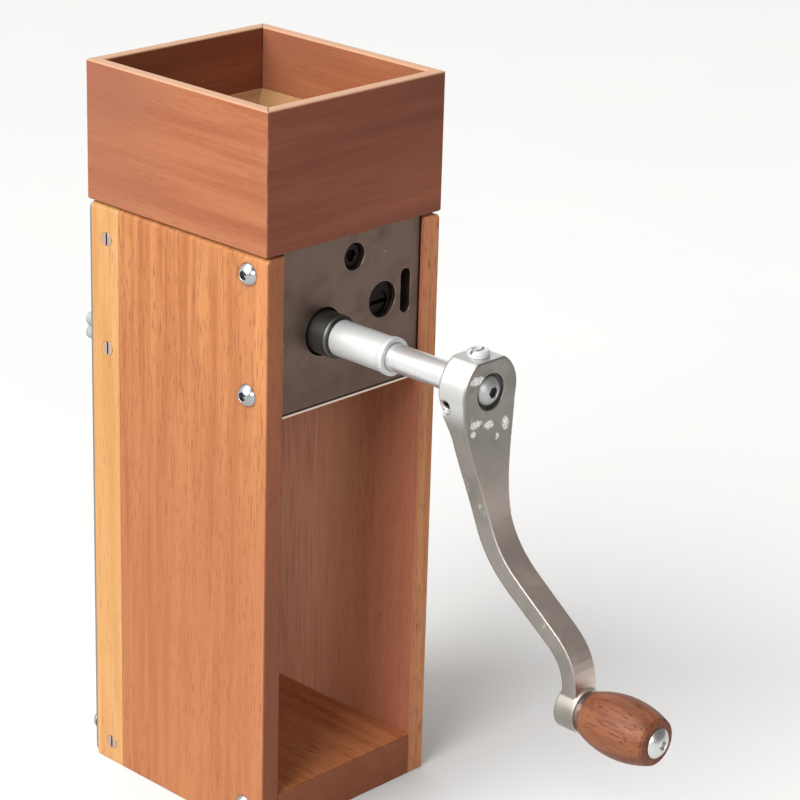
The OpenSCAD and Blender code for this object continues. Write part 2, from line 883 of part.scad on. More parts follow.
module coupling_sleeve() {
    color("#d8dada") difference() {
        union() {
            bar_y(drive_x, sleeve_front, collar_front, drive_z, sleeve_d);
            bar_y(drive_x, sleeve_front, sleeve_front + rim_w, drive_z, sleeve_d + 2 * rim_h);
        }
        bar_y(drive_x, sleeve_front - over, collar_front + over, drive_z, journal_d + 2 * fit);
        for (y = sleeve_grub_places)
            bar_z(drive_x, y, drive_z - sleeve_d, drive_z, sleeve_grub_d + 2 * fit);
    }
}

module sleeve_grub_screws() {
    color("#8f9294") for (y = sleeve_grub_places)
        difference() {
            bar_z(drive_x, y, drive_z - sleeve_d / 2 + sleeve_grub_sink, drive_z - journal_d / 2 - fit,
                sleeve_grub_d);
            bar_z(drive_x, y, drive_z - sleeve_d, drive_z - sleeve_d / 2 + sleeve_socket,
                sleeve_grub_d * 0.5, $fn = 6);
        }
}

module drive_rod() {
    color("#cfd1d1") difference() {
        bar_y(drive_x, rod_end, stub_end, drive_z, journal_d);
        bar_y(drive_x, rod_end - over, rod_end + end_screw_l + fit, drive_z, end_screw_d + 2 * fit);
    }
}

// Puts a child that points up on the crank's head, pointing out at an angle seen from the front
module on_head(angle) {
    translate([drive_x, (head_back + head_front) / 2, drive_z]) rotate([0, 90 - angle, 0]) children();
}

// Side view of the arm in Y and Z, from its law of lean
module arm_side() {
    polygon(concat(
        [for (i = [0:arm_steps]) arm_face(i, -1)],
        [for (i = [arm_steps:-1:0]) arm_face(i, 1)]));
}

// Front view of the arm in X and Z: tapered under the head, then straight to the eye
module arm_front() {
    depths = concat(
        [for (i = [0:taper_steps]) arm_taper * i / taper_steps],
        [drive_z - eye_z]);
    n = len(depths) - 1;
    translate([drive_x, drive_z]) polygon(concat(
        [for (i = [0:n]) [-arm_half(depths[i]), -depths[i]]],
        [for (i = [n:-1:0]) [arm_half(depths[i]), -depths[i]]]));
}

// Crank's head, turned with chamfered edges, before its flat is cut
module crank_head() {
    translate([drive_x, head_front, drive_z]) rotate([-90, 0, 0]) rotate_extrude() polygon([
        [0, 0], [head_d / 2 - arm_front_inset, 0], [head_d / 2, arm_front_inset],
        [head_d / 2, head_l - head_chamfer], [head_d / 2 - head_chamfer, head_l], [0, head_l]]);
}

module crank_arm() {
    arm_low = eye_y - arm_t0;
    color("#a9a8a4") difference() {
        union() {
            crank_head();
            intersection() {
                along_x(drive_x - arm_w0, drive_x + arm_w0) arm_side();
                along_y(arm_low, head_back) arm_front();
            }
            bar_y(drive_x, eye_y - eye_l / 2, eye_y + eye_l / 2, eye_z, eye_d);
        }
        bar_y(drive_x, head_front - over, head_back + over, drive_z, journal_d + 2 * fit);
        bar_y(drive_x, head_front - over, rod_end, drive_z, washer_d + 2 * washer_room);
        bar_y(drive_x, eye_y - eye_l, eye_y + eye_l, eye_z, spindle_d + 2 * fit);
        on_head(90) cylinder(d = clamp_d + 2 * fit, h = head_d);
        translate([drive_x - head_d, head_front - over, drive_z + head_flat])
            cube([2 * head_d, head_l + 2 * over, head_d]);
        on_head(grub_angle) translate([0, grub_back, 0]) cylinder(d = grub_d + 2 * fit, h = head_d);
        on_head(grub_angle) translate([0, grub_back, head_d / 2 - spot_depth])
            cylinder(d = spot_d, h = head_d / 2);
    }
}

// Slotted screw that clamps the crank on the rod, its head low on the flat
module crank_clamp_screw() {
    base = head_flat + fit;
    top_d = clamp_head_d - 2 * clamp_bevel;
    color("#c9cac8") on_head(90) difference() {
        union() {
            translate([0, 0, journal_d / 2 + fit]) cylinder(d = clamp_d, h = base - journal_d / 2);
            translate([0, 0, base]) cylinder(d = clamp_head_d, h = clamp_head_h - clamp_bevel_h);
            translate([0, 0, base + clamp_head_h - clamp_bevel_h])
                cylinder(d1 = clamp_head_d, d2 = top_d, h = clamp_bevel_h);
        }
        translate([0, 0, base + clamp_head_h - clamp_dish])
            cylinder(d = top_d - 2 * clamp_rim, h = 2 * clamp_dish);
        translate([-clamp_head_d, -clamp_slot_w / 2, base + clamp_head_h - clamp_slot_depth])
            cube([2 * clamp_head_d, clamp_slot_w, clamp_slot_depth + over]);
    }
}

module crank_grub_screw() {
    color("#8f9294") on_head(grub_angle) translate([0, grub_back, journal_d / 2 + fit]) difference() {
        cylinder(d = grub_d, h = grub_l);
        translate([0, 0, grub_l - grub_socket]) cylinder(d = grub_d * 0.58, h = grub_socket + over, $fn = 6);
    }
}

module crank_washer() {
    color("#6f7274") difference() {
        bar_y(drive_x, rod_end - washer_t, rod_end, drive_z, washer_d);
        bar_y(drive_x, rod_end - washer_t - over, rod_end + over, drive_z, end_screw_d + 2 * fit);
    }
}

module crank_end_screw() {
    color("#b9bbbb") translate([drive_x, rod_end - washer_t, drive_z]) rotate([90, 0, 0])
        dome_bolt(end_screw_d, end_screw_l + washer_t, end_screw_head, end_screw_h);
}

// Spindle riveted in the arm's eye: a flange in front of the eye, a head in front of the knob
module knob_spindle() {
    flange_y = eye_y - eye_l / 2;
    head_y = knob_y0 - face_gap;
    color("#b9bbbb") {
        bar_y(drive_x, head_y, eye_y + eye_l / 2, eye_z, spindle_d);
        bar_y(drive_x, flange_y - spindle_flange_t, flange_y, eye_z, spindle_flange_d);
        translate([drive_x, head_y, eye_z]) rotate([90, 0, 0])
            dome_head(spindle_flange_d, spindle_head_h, spindle_socket);
    }
}

// Turned knob: a barrel with round ends, bored for its spindle
module crank_knob() {
    end_r = knob_d / 2 - 3.5;
    bow = 3.5;
    arc_r = (pow(knob_l / 2, 2) + bow * bow) / (2 * bow);
    color("#7d4a30") difference() {
        translate([drive_x, knob_y0, eye_z]) rotate([-90, 0, 0]) rotate_extrude() intersection() {
            translate([end_r + bow - arc_r, knob_l / 2]) circle(arc_r, $fn = 256);
            square([knob_d / 2, knob_l]);
        }
        bar_y(drive_x, knob_y0 - over, knob_y1 + over, eye_z, spindle_d + 2 * run);
    }
}

left_side_board();
left_rear_stave();
right_side_board();
right_rear_stave();
base_board();
side_bolts();
rear_side_screws();
front_end_plate();
rear_end_plate();
tie_rod();
tie_screws();
drive_bush_front();
drive_bush_rear();
left_grain_guide();
right_grain_guide();
hopper_front_wall();
hopper_back_wall();
hopper_left_wall();
hopper_right_wall();
hopper_floor();
hopper_screws();
funnel_left();
funnel_right();
funnel_front();
funnel_back();
back_cover();
cover_screws();
cover_knob_left();
cover_stud_left();
cover_knob_right();
cover_stud_right();
gap_axle();
eccentric_front();
eccentric_rear();
gap_arm();
gap_pin();
idler_roller();
idler_bushes();
drive_roller();
drive_spacer();
drive_collar();
coupling_sleeve();
sleeve_grub_screws();
drive_rod();
crank_arm();
crank_clamp_screw();
crank_grub_screw();
crank_washer();
crank_end_screw();
knob_spindle();
crank_knob();
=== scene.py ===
import math

import bpy
from mathutils import Matrix, Vector


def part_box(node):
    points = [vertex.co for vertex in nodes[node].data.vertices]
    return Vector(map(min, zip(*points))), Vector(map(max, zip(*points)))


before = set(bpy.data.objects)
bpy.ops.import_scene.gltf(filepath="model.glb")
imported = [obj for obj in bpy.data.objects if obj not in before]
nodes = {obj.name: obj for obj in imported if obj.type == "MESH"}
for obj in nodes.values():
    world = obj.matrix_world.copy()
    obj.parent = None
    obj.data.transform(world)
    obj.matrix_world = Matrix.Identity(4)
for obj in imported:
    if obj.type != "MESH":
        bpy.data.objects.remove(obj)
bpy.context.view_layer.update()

# Side boards: two planed hardwood boards with upright grain, oiled and lightly sanded at the arrises.
# Each is bolted to the mill block near its top and to the base board at its foot.


def add(tree, kind, sockets=None, **settings):
    """Adds a node, sets its options and fills its sockets with values or links."""
    node = tree.nodes.new(kind)
    for name, value in settings.items():
        setattr(node, name, value)
    for name, value in (sockets or {}).items():
        if isinstance(value, bpy.types.NodeSocket):
            tree.links.new(value, node.inputs[name])
        else:
            node.inputs[name].default_value = value
    return node


def span(tree, value, low, high, start=0.0, end=1.0):
    """Smooth step of a value from start at low to end at high."""
    sockets = {"Value": value, "From Min": low, "From Max": high, "To Min": start, "To Max": end}
    return add(tree, "ShaderNodeMapRange", sockets, interpolation_type="SMOOTHSTEP").outputs["Result"]


def calc(tree, operation, first, second=0.0):
    """One arithmetic step on two values."""
    return add(tree, "ShaderNodeMath", {0: first, 1: second}, operation=operation).outputs[0]


def times(tree, first, second):
    """Product of two values."""
    return calc(tree, "MULTIPLY", first, second)


def joined(tree, operation, first, second):
    """One arithmetic step on two vectors."""
    return add(tree, "ShaderNodeVectorMath", {0: first, 1: second}, operation=operation).outputs


def part_of(tree, vector, axis):
    """One part of a vector, X, Y or Z."""
    return add(tree, "ShaderNodeSeparateXYZ", {"Vector": vector}).outputs[axis]


def mingle(tree, share, first, second):
    """Mix of two colours, all second where share is 1."""
    return add(tree, "ShaderNodeMix", {0: share, 6: first, 7: second}, data_type="RGBA").outputs[2]


def stretched(tree, vector, across, along):
    """Coordinates scaled across and along the third axis."""
    sockets = {"Vector": vector, "Scale": (across, across, along)}
    return add(tree, "ShaderNodeMapping", sockets).outputs["Vector"]


def noise(tree, vector, scale, detail=2.0, distortion=0.0):
    """Soft noise between 0 and 1."""
    sockets = {"Vector": vector, "Scale": scale, "Detail": detail, "Distortion": distortion}
    return add(tree, "ShaderNodeTexNoise", sockets).outputs["Fac"]


def new_group(name, inputs, outputs):
    """Empty shader group with named sockets, and its ends."""
    group = bpy.data.node_groups.new(name, "ShaderNodeTree")
    for socket, kind, value in inputs:
        made = group.interface.new_socket(socket, in_out="INPUT", socket_type="NodeSocket" + kind)
        if value is not None:
            made.default_value = value
    for socket, kind in outputs:
        group.interface.new_socket(socket, in_out="OUTPUT", socket_type="NodeSocket" + kind)
    return group, group.nodes.new("NodeGroupInput").outputs, group.nodes.new("NodeGroupOutput").inputs


def tone(red, green, blue):
    """Linear colour from screen values of 0 to 255."""
    def linear(value):
        share = value / 255
        return share / 12.92 if share <= 0.04045 else ((share + 0.055) / 1.055) ** 2.4
    return (linear(red), linear(green), linear(blue), 1.0)


KEY_GAIN = 2.0


def shown(red, green, blue):
    """Surface colour that looks like these screen values in the key light."""
    return tuple(value / KEY_GAIN for value in tone(red, green, blue)[:3]) + (1.0,)


def make_wood_figure():
    """Figure of hardwood whose grain runs along the third axis, in metres."""
    tree, given, out = new_group(
        "wood_figure",
        [("Vector", "Vector", None), ("Toning", "Float", 0.0), ("Pale", "Color", shown(225, 155, 100)),
         ("Deep", "Color", shown(190, 115, 65)), ("Blush", "Color", shown(215, 140, 100)),
         ("Pore Colour", "Color", shown(140, 80, 42)), ("Streaks", "Float", 260.0),
         ("Pores", "Float", 0.6)],
        [("Colour", "Color"), ("Roughness", "Float"), ("Height", "Float")])
    place = given["Vector"]
    sway_sockets = {"Vector": stretched(tree, place, 1.0, 0.3), "Scale": 14.0, "Detail": 2.0}
    sway = add(tree, "ShaderNodeTexNoise", sway_sockets).outputs["Color"]
    sway_reach = (0.004, 0.004, 0.0)
    swayed = joined(tree, "ADD", place, joined(tree, "MULTIPLY", sway, sway_reach)[0])[0]
    streaks = noise(tree, stretched(tree, swayed, 1.0, 0.045), given["Streaks"], 3.0, 0.3)
    fibres = noise(tree, stretched(tree, swayed, 1.0, 0.035), 1100.0, 2.0)
    dashes = noise(tree, stretched(tree, swayed, 1.0, 0.085), 1500.0, 1.0)
    patches = noise(tree, stretched(tree, place, 1.0, 0.35), 60.0, 3.0)
    drift = noise(tree, stretched(tree, place, 1.0, 0.25), 24.0, 2.0)
    pore_line = times(tree, span(tree, dashes, 0.57, 0.68), span(tree, patches, 0.3, 0.56, 0.25, 1.0))
    pores = times(tree, pore_line, given["Pores"])
    body = mingle(tree, span(tree, streaks, 0.3, 0.72), given["Pale"], given["Deep"])
    toned = calc(tree, "ADD", span(tree, drift, 0.4, 0.68, 0.0, 0.6), given["Toning"])
    blushed = mingle(tree, toned, body, given["Blush"])
    fibred = mingle(tree, span(tree, fibres, 0.4, 0.8, 0.0, 0.35), blushed, given["Deep"])
    tree.links.new(mingle(tree, pores, fibred, given["Pore Colour"]), out["Colour"])
    sheen = calc(tree, "ADD", span(tree, fibres, 0.3, 0.8, 0.4, 0.52), times(tree, pores, 0.25))
    tree.links.new(sheen, out["Roughness"])
    relief = calc(tree, "SUBTRACT", span(tree, fibres, 0.3, 0.8, 0.0, 0.35), pores)
    tree.links.new(relief, out["Height"])
    return tree


def make_edge_rub():
    """Mask of the arrises, broken up where hands and work rub less."""
    tree, given, out = new_group(
        "edge_rub", [("Vector", "Vector", None), ("Radius", "Float", 0.0008), ("Break", "Float", 220.0)],
        [("Mask", "Float")])
    rounded = add(tree, "ShaderNodeBevel", {"Radius": given["Radius"]}, samples=6).outputs[0]
    true = add(tree, "ShaderNodeNewGeometry").outputs["Normal"]
    edge = span(tree, joined(tree, "DOT_PRODUCT", rounded, true)["Value"], 0.985, 0.86)
    patch = span(tree, noise(tree, given["Vector"], given["Break"], 3.0), 0.34, 0.58)
    tree.links.new(times(tree, edge, patch), out["Mask"])
    return tree


wood_figure = make_wood_figure()
edge_rub = make_edge_rub()
GRAIN_TURN = {"x": (0, -math.pi / 2, 0), "y": (math.pi / 2, 0, 0), "z": (0, 0, 0)}


def new_material(name):
    """Material with a bare Principled shader, and its place coordinates."""
    made = bpy.data.materials.new(name)
    made.use_nodes = True
    tree = made.node_tree
    place = tree.nodes.new("ShaderNodeTexCoord").outputs["Object"]
    return made, tree, tree.nodes["Principled BSDF"], place


def placed(tree, group, sockets):
    """Outputs of a group placed in a material, with its inputs filled."""
    return add(tree, "ShaderNodeGroup", sockets, node_tree=group).outputs


def bump(tree, shader, height, depth):
    """Relief of a given depth in metres on a shader's normal."""
    made = add(tree, "ShaderNodeBump", {"Height": height, "Distance": depth, "Strength": 1.0})
    tree.links.new(made.outputs["Normal"], shader.inputs["Normal"])


def oiled_wood(name, grain, shift, rub_tone, toning=None, **figure):
    """Oiled hardwood, its grain along one axis of the mill, toned from start to end along an axis."""
    made, tree, shader, place = new_material(name)
    lay = {"Vector": place, "Rotation": GRAIN_TURN[grain], "Location": shift}
    sockets = {key.replace("_", " ").title(): value for key, value in figure.items()}
    sockets["Vector"] = add(tree, "ShaderNodeMapping", lay).outputs["Vector"]
    if toning:
        axis, start, end, share = toning
        sockets["Toning"] = span(tree, part_of(tree, place, axis), start, end, 0.0, share)
    wood = placed(tree, wood_figure, sockets)
    rub = placed(tree, edge_rub, {"Vector": place, "Radius": 0.0009})
    worn = mingle(tree, times(tree, rub["Mask"], 0.55), wood["Colour"], rub_tone)
    tree.links.new(worn, shader.inputs["Base Color"])
    tree.links.new(wood["Roughness"], shader.inputs["Roughness"])
    bump(tree, shader, wood["Height"], 0.00012)
    shader.inputs["Specular IOR Level"].default_value = 0.2
    return made


def finish(names, made):
    """Gives CAD pieces their finish."""
    for name in names:
        for slot in nodes[name].material_slots:
            slot.material = made


def make_joined_faces():
    """Geometry group that joins a solid's faces at their shared edges and shades them smooth."""
    group = bpy.data.node_groups.new("joined_faces", "GeometryNodeTree")
    for way in ("INPUT", "OUTPUT"):
        group.interface.new_socket("Geometry", in_out=way, socket_type="NodeSocketGeometry")
    start = group.nodes.new("NodeGroupInput")
    merge = group.nodes.new("GeometryNodeMergeByDistance")
    merge.inputs["Distance"].default_value = 2e-6
    smooth = group.nodes.new("GeometryNodeSetShadeSmooth")
    end = group.nodes.new("NodeGroupOutput")
    group.links.new(start.outputs[0], merge.inputs["Geometry"])
    group.links.new(merge.outputs[0], smooth.inputs["Geometry"])
    group.links.new(smooth.outputs[0], end.inputs[0])
    return group


joined_faces = make_joined_faces()
FLAT_WITHIN = math.radians(0.6)
ARRIS_ANGLE = math.radians(32)


def ease(names, radius, steps=3):
    """Rounds the arrises of CAD pieces by a small radius in metres."""
    for name in names:
        piece = nodes[name]
        piece.modifiers.new("joined", "NODES").node_group = joined_faces
        flat = piece.modifiers.new("flat", "DECIMATE")
        flat.decimate_type = "DISSOLVE"
        flat.angle_limit = FLAT_WITHIN
        eased = piece.modifiers.new("eased", "BEVEL")
        eased.width = radius
        eased.segments = steps
        eased.limit_method = "ANGLE"
        eased.angle_limit = ARRIS_ANGLE
        eased.use_clamp_overlap = False
        shaded = piece.modifiers.new("shaded", "WEIGHTED_NORMAL")
        shaded.keep_sharp = False


def surface(made, kind):
    """Coordinates of a finished material: Object for its place, Normal for the way it faces."""
    return made.node_tree.nodes["Texture Coordinate"].outputs[kind]


def reach(made, axis, start, end, share=1.0):
    """Mask that grows to a share between two places along an axis of the mill."""
    tree = made.node_tree
    return span(tree, part_of(tree, surface(made, "Object"), axis), start, end, 0.0, share)


def skin(made, axis, face, fades, full, share=1.0):
    """Mask of the skin next to a face: it fades out at one depth and is full at another, in metres."""
    return reach(made, axis, face + fades, face + full, share)


def overlay(made, colour, *masks):
    """Lays a colour over a finished material where all of the masks are 1."""
    tree = made.node_tree
    share = masks[0]
    for mask in masks[1:]:
        share = times(tree, share, mask)
    base = tree.nodes["Principled BSDF"].inputs["Base Color"]
    tree.links.new(mingle(tree, share, base.links[0].from_socket, colour), base)


left_board_wood = oiled_wood(
    "left_board_wood", "z", (0.31, 0.12, 0.4), shown(240, 184, 140), toning=("Y", -0.035, -0.056, 0.6),
    pale=shown(228, 154, 94), deep=shown(196, 119, 68), blush=shown(246, 170, 108),
    pore_colour=shown(152, 84, 44))
board_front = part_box("left_side_board")[0][1]
front_edge = skin(left_board_wood, "Y", board_front, 0.0008, 0.0003, 0.65)
overlay(left_board_wood, shown(188, 114, 74), reach(left_board_wood, "Z", 0.27, 0.12, 0.6))
overlay(left_board_wood, shown(166, 88, 60), front_edge)
overlay(left_board_wood, shown(140, 76, 58), front_edge, reach(left_board_wood, "Z", 0.2, 0.08, 0.6))
right_board_wood = oiled_wood(
    "right_board_wood", "z", (0.92, 0.55, 0.1), shown(246, 190, 146),
    pale=shown(248, 170, 112), deep=shown(220, 138, 86), blush=shown(236, 152, 104),
    pore_colour=shown(146, 76, 44))
inner_face = skin(right_board_wood, "X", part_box("right_side_board")[0][0], 0.0006, 0.0002)
inner_front = reach(right_board_wood, "Y", 0.008, -0.04, 0.7)
inner_rear_painted_light = reach(right_board_wood, "Y", -0.03, 0.015, 0.85)
inner_tree = right_board_wood.node_tree
inner_lines = noise(
    inner_tree, stretched(inner_tree, surface(right_board_wood, "Object"), 1.0, 0.04), 800.0, 3.0)
overlay(right_board_wood, shown(212, 128, 104), inner_face, inner_front)
# The rear of the inner face is painted much paler: a painted pool of light reaching into the niche from
# the front, with grain lines laid darker through it.
overlay(right_board_wood, tone(250, 180, 148), inner_face, inner_rear_painted_light)
overlay(right_board_wood, tone(190, 112, 86), inner_face, inner_rear_painted_light,
        span(inner_tree, inner_lines, 0.42, 0.72), 0.6)
finish(["left_side_board"], left_board_wood)
finish(["right_side_board"], right_board_wood)
ease(["left_side_board", "right_side_board"], 0.0007)

# Rear staves: a paler strip of the same timber, glued along the rear edge of each side board.
# Its grain is quieter, and the glue line shows as a straight change of colour.
stave_wood = oiled_wood(
    "stave_wood", "z", (0.05, 0.87, 0.3), shown(250, 208, 152),
    pale=shown(242, 186, 122), deep=shown(222, 158, 90), blush=shown(232, 172, 106),
    pore_colour=shown(184, 118, 62), streaks=210.0, pores=0.35)
staves = ["left_rear_stave", "right_rear_stave"]
finish(staves, stave_wood)
ease(staves, 0.0006)

# Base board: a thicker piece between the side boards, grain from front to back.
# It is of the hopper's darker timber, and its sawn front end is the darkest.
base_wood = oiled_wood(
    "base_wood", "y", (0.4, 0.2, 0.7), shown(216, 150, 104),
    pale=shown(255, 168, 112), deep=shown(226, 134, 84), blush=shown(240, 148, 98),
    pore_colour=shown(144, 76, 44), streaks=190.0, pores=0.5)
base_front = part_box("base_board")[0][1]
overlay(base_wood, shown(146, 76, 48), skin(base_wood, "Y", base_front, 0.0008, 0.0003, 0.8))
finish(["base_board"], base_wood)
ease(["base_board"], 0.0006)

# End plates of the mill block: thick steel plates, ground flat and browned, with bored seats.
# They hold the roller bushes and are bolted between the side boards.


def make_steel_wear():
    """Fine lines, smudges and scratches of worked steel."""
    tree, given, out = new_group(
        "steel_wear",
        [("Vector", "Vector", None), ("Lines Scale", "Float", 900.0), ("Line Length", "Float", 0.03)],
        [("Lines", "Float"), ("Smudge", "Float"), ("Scratch", "Float"), ("Specks", "Float")])
    place = given["Vector"]
    along = add(tree, "ShaderNodeCombineXYZ", {"X": 1.0, "Y": 1.0, "Z": given["Line Length"]}).outputs[0]
    lined = joined(tree, "MULTIPLY", place, along)[0]
    tree.links.new(noise(tree, lined, given["Lines Scale"], 3.0), out["Lines"])
    tree.links.new(span(tree, noise(tree, place, 70.0, 4.0, 0.5), 0.42, 0.72), out["Smudge"])
    slant = {"Vector": place, "Rotation": (0.6, 0.9, 0.35), "Scale": (1.0, 1.0, 0.08)}
    skewed = noise(tree, add(tree, "ShaderNodeMapping", slant).outputs["Vector"], 190.0, 2.0)
    contour = calc(tree, "ABSOLUTE", calc(tree, "SUBTRACT", skewed, 0.5))
    rare = span(tree, noise(tree, place, 120.0, 2.0), 0.54, 0.66)
    tree.links.new(times(tree, span(tree, contour, 0.012, 0.003), rare), out["Scratch"])
    cells = add(tree, "ShaderNodeTexVoronoi", {"Vector": place, "Scale": 150.0}).outputs
    cell_draw = add(tree, "ShaderNodeSeparateColor", {0: cells["Color"]}).outputs[0]
    dot = span(tree, cells["Distance"], 0.085, 0.05)
    tree.links.new(times(tree, dot, span(tree, cell_draw, 0.84, 0.86)), out["Specks"])
    return tree


def make_recess_shade_and_grime():
    """Mask of narrow recesses such as sockets and slots, darkened as painted shade as well as for the
    oil and dust that stay there.
    """
    tree, given, out = new_group("recess_shade_and_grime", [("Reach", "Float", 0.004)], [("Mask", "Float")])
    closed_in = add(
        tree, "ShaderNodeAmbientOcclusion", {"Distance": given["Reach"]}, samples=8, only_local=True)
    tree.links.new(span(tree, closed_in.outputs["AO"], 0.8, 0.45), out["Mask"])
    return tree


steel_wear = make_steel_wear()
recess_shade_and_grime = make_recess_shade_and_grime()
DUST = tone(235, 228, 215)
OIL_AND_SHADE = tone(34, 31, 29)
SMUDGE_ROUGHNESS = 0.08


def worked_metal(name, colour, dull, rub_tone, rough, lines, scratch=0.4, specks=0.0, relief=0.00002,
                 rub=0.7, turned=False, metallic=1.0, arris=0.0006, shade_and_grime=0.0):
    """Metal that dulls in patches and is rubbed bright at its arrises.

    rough is its least and most roughness, and lines the scale and length of its tool marks.
    """
    made, tree, shader, place = new_material(name)
    marks = place
    if turned:
        round_lay = {"Vector": place, "Scale": (0.02, 1.0, 0.02)}
        marks = add(tree, "ShaderNodeMapping", round_lay).outputs["Vector"]
    wear = placed(tree, steel_wear, {"Vector": marks, "Lines Scale": lines[0], "Line Length": lines[1]})
    worn_edge = placed(tree, edge_rub, {"Vector": place, "Radius": arris, "Break": 380.0})
    base = mingle(tree, wear["Smudge"], colour, dull)
    scored = mingle(tree, times(tree, wear["Scratch"], scratch), base, rub_tone)
    rubbed = mingle(tree, times(tree, worn_edge["Mask"], rub), scored, rub_tone)
    dusted = mingle(tree, times(tree, wear["Specks"], specks), rubbed, DUST)
    # Narrow recesses are darkened: painted shade, as well as the oil that stays there.
    if shade_and_grime:
        recess = placed(tree, recess_shade_and_grime, {})["Mask"]
        dusted = mingle(tree, times(tree, recess, shade_and_grime), dusted, OIL_AND_SHADE)
    tree.links.new(dusted, shader.inputs["Base Color"])
    spread = calc(tree, "ADD", times(tree, wear["Lines"], rough[1] - rough[0]), rough[0])
    patched = calc(tree, "ADD", spread, times(tree, wear["Smudge"], SMUDGE_ROUGHNESS))
    tree.links.new(patched, shader.inputs["Roughness"])
    bump(tree, shader, wear["Lines"], relief)
    shader.inputs["Metallic"].default_value = metallic
    return made


# Its rubbed arrises and hole rims, a millimetre wide, are partly bare-metal wear and partly a painted
# highlight where they catch the light.
plate_steel = worked_metal(
    "plate_steel", tone(112, 94, 84), tone(102, 85, 76), tone(206, 198, 188),
    rough=(0.36, 0.5), lines=(700.0, 0.2), scratch=0.04, specks=0.9, arris=0.001)
(plate_left, _, plate_foot), (plate_right, _, _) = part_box("front_end_plate")
seam_shade = tone(26, 20, 17)
foot_highlight_and_burr = tone(228, 208, 192)
overlay(plate_steel, tone(88, 70, 62), skin(plate_steel, "Z", plate_foot, 0.035, 0.005, 0.5))
overlay(plate_steel, seam_shade, skin(plate_steel, "X", plate_left, 0.0014, 0.0008, 0.85))
overlay(plate_steel, seam_shade, skin(plate_steel, "X", plate_right, -0.0016, -0.001, 0.85))
overlay(plate_steel, seam_shade, skin(plate_steel, "Z", plate_foot, 0.0024, 0.0018, 0.9))
# A light line along the foot: a painted highlight where the lower arris catches the light, over a bright
# burr.
overlay(plate_steel, foot_highlight_and_burr, skin(plate_steel, "Z", plate_foot, 0.0014, 0.0009, 0.9))
end_plates = ["front_end_plate", "rear_end_plate"]
finish(end_plates, plate_steel)
ease(end_plates, 0.0004)

# Bushes, spacer and tie rod inside the mill block: oilite bronze and plain turned steel.
# The tie rod and its two blackened socket screws pull the plates together.
bush_bronze = worked_metal(
    "bush_bronze", tone(206, 162, 92), tone(176, 132, 72), tone(232, 200, 140),
    rough=(0.3, 0.45), lines=(900.0, 0.05))
turned_steel = worked_metal(
    "turned_steel", tone(214, 215, 214), tone(200, 200, 198), tone(236, 236, 234),
    rough=(0.22, 0.34), lines=(1400.0, 1.0), scratch=0.1, turned=True)
black_steel = worked_metal(
    "black_steel", tone(34, 30, 27), tone(27, 24, 21), tone(96, 88, 80),
    rough=(0.26, 0.38), lines=(900.0, 0.6), scratch=0.2)
bronze_rings = ["drive_bush_front", "drive_bush_rear", "idler_bushes", "drive_spacer"]
finish(bronze_rings, bush_bronze)
finish(["tie_rod"], turned_steel)
finish(["tie_screws"], black_steel)
ease(bronze_rings + ["tie_rod", "tie_screws"], 0.0003, steps=2)

# Rollers: two hardened steel cylinders with straight flutes, one driven and one idling.
# They lie side by side under the hopper's throat, a set gap apart.
roller_steel = worked_metal(
    "roller_steel", tone(150, 150, 148), tone(124, 122, 118), tone(214, 212, 206),
    rough=(0.3, 0.46), lines=(1100.0, 0.03), specks=0.5)
rollers = ["drive_roller", "idler_roller"]
finish(rollers, roller_steel)
ease(rollers, 0.00012, steps=2)

# Gap setting: an axle carried off centre in two steel discs, a small arm and the pin in its slot.
# Turning the discs by the pin moves the idler towards or away from the driven roller.
blackened = ["gap_axle", "gap_pin", "eccentric_front", "eccentric_rear"]
finish(["gap_arm"], turned_steel)
finish(blackened, black_steel)
ease(blackened + ["gap_arm"], 0.0003, steps=2)

# Guides: sloped blocks of mill-finish aluminium between the end plates.
# They close the space under the throat down to the nip of the rollers.
guide_metal = worked_metal(
    "guide_metal", tone(188, 189, 188), tone(168, 168, 166), tone(222, 222, 220),
    rough=(0.34, 0.48), lines=(800.0, 0.04))
guides = ["left_grain_guide", "right_grain_guide"]
finish(guides, guide_metal)
ease(guides, 0.0003, steps=2)

# Side fixings: bright dome-head bolts in front, small countersunk screws in the rear staves.
# The bolts run into the end plates and the base, and their heads stand proud of the boards.
bright_bolts = worked_metal(
    "bright_bolts", tone(176, 177, 180), tone(162, 163, 166), tone(210, 210, 211),
    rough=(0.2, 0.3), lines=(500.0, 0.4), scratch=0.2, relief=0.000004, shade_and_grime=0.55)
plain_screws = worked_metal(
    "plain_screws", tone(198, 174, 158), tone(178, 152, 138), tone(222, 204, 190),
    rough=(0.24, 0.38), lines=(700.0, 0.5), shade_and_grime=0.8)
finish(["side_bolts"], bright_bolts)
finish(["rear_side_screws"], plain_screws)
ease(["side_bolts"], 0.0003)
ease(["rear_side_screws"], 0.0002, steps=2)

# Back cover: one piece of bead-blasted aluminium sheet over the rear, with rounded corners.
# Two dome screws hold its foot, and two star knobs of grey plastic on steel studs hold its top.
cover_sheet = worked_metal(
    "cover_sheet", tone(196, 197, 195), tone(192, 193, 191), tone(222, 222, 220),
    rough=(0.42, 0.5), lines=(1500.0, 0.9), scratch=0.15)
cover_tree = cover_sheet.node_tree
cover_aside = calc(cover_tree, "ABSOLUTE", part_of(cover_tree, surface(cover_sheet, "Normal"), "X"))
overlay(cover_sheet, tone(128, 118, 108), span(cover_tree, cover_aside, 0.5, 0.9, 0.0, 0.8))
cover_studs = ["cover_stud_left", "cover_stud_right"]
finish(["back_cover"], cover_sheet)
finish(["cover_screws"], bright_bolts)
finish(cover_studs, turned_steel)
ease(cover_studs + ["back_cover", "cover_screws"], 0.0003, steps=2)


